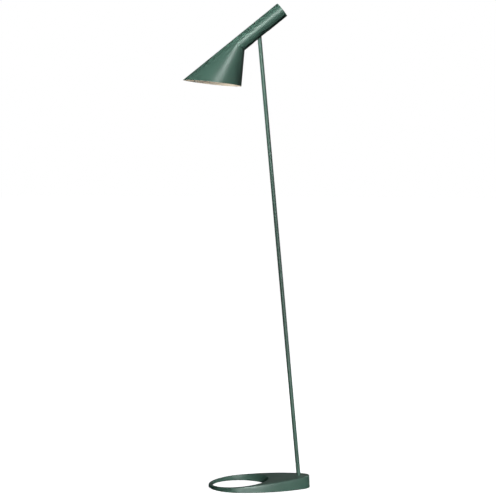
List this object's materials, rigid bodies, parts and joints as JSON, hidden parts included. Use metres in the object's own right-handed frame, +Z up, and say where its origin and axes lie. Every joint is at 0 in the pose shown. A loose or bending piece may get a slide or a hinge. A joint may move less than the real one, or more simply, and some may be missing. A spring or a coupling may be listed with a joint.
{
  "type": "adjustable arm floor lamp",
  "caption": "Floor lamp with a slim leaning stem, a flat egg-shaped base with a round hole, and a slanted cone shade on a tube that tilts on the stem.",
  "frame": {"origin": "on the floor, where the axis of the stem meets it", "axes": "+Z up, -X towards the shade, +X towards the thick end of the base, Y across; the XZ plane is the plane of symmetry"},
  "size_m": [0.3481, 0.1702, 1.3],
  "materials": {
    "satin_paint": "satin grey-green paint over metal",
    "pad_rubber": "matt black sheet",
    "zinc_plate": "zinc-plated steel",
    "bush_rubber": "soft matt black",
    "block_plastic": "moulded, matt",
    "knuckle_brass": "turned",
    "fibre": "pressed fibre, matt",
    "holder_plastic": "moulded thermoset, satin",
    "core_ceramic": "glazed steatite",
    "contact_brass": "pressed and bright",
    "bulb_metal": "bright",
    "bead_glass": "dark fused glass",
    "opal_glass": "opal, lit from inside, emissive",
    "button_plastic": "moulded, satin black",
    "lead_sheath": "smooth soft sheath"
  },
  "bodies": {
    "stand": {"base_casting": "satin_paint", "base_pad": "pad_rubber", "bottom_cover": "zinc_plate", "cover_screws": "zinc_plate", "cord_inlet_bush": "bush_rubber", "terminal_block": "block_plastic", "terminal_screws": "zinc_plate", "stem": "satin_paint", "stem_washer": "zinc_plate", "stem_lock_nut": "zinc_plate", "stem_knuckle": "knuckle_brass", "pivot_bolts": "zinc_plate", "friction_washers": "fibre", "spring_washers": "zinc_plate", "stem_lead": "lead_sheath", "pivot_lead": "lead_sheath"},
    "head": {"shade": "satin_paint", "pivot_chassis": "zinc_plate", "lampholder_nipple": "zinc_plate", "nipple_nut": "zinc_plate", "lampholder_cap": "holder_plastic", "lampholder_skirt": "holder_plastic", "lampholder_core": "core_ceramic", "screw_shell": "contact_brass", "centre_contact": "contact_brass", "bulb_contact": "bulb_metal", "bulb_insulator": "bead_glass", "bulb_cap": "bulb_metal", "bulb_glass": "opal_glass", "rear_cap": "satin_paint", "switch_body": "holder_plastic", "switch_spring": "zinc_plate", "switch_lead": "lead_sheath", "holder_lead": "lead_sheath"},
    "button": {"switch_button": "button_plastic"}
  },
  "joints": [
    {"name": "head_tilt", "type": "hinge", "parent": "stand", "child": "head", "pos_m": [-0.11872, 0, 1.233], "axis": [0, 1, 0], "range_deg": [-15, 60], "deforming": ["pivot_lead"]},
    {"name": "button_press", "type": "slide", "parent": "head", "child": "button", "axis": [-0.7749, 0, -0.632], "range_m": [0, 0.002], "stiffness_N_per_m": 600, "springref_m": -0.0005, "deforming": ["switch_spring"]}
  ]
}
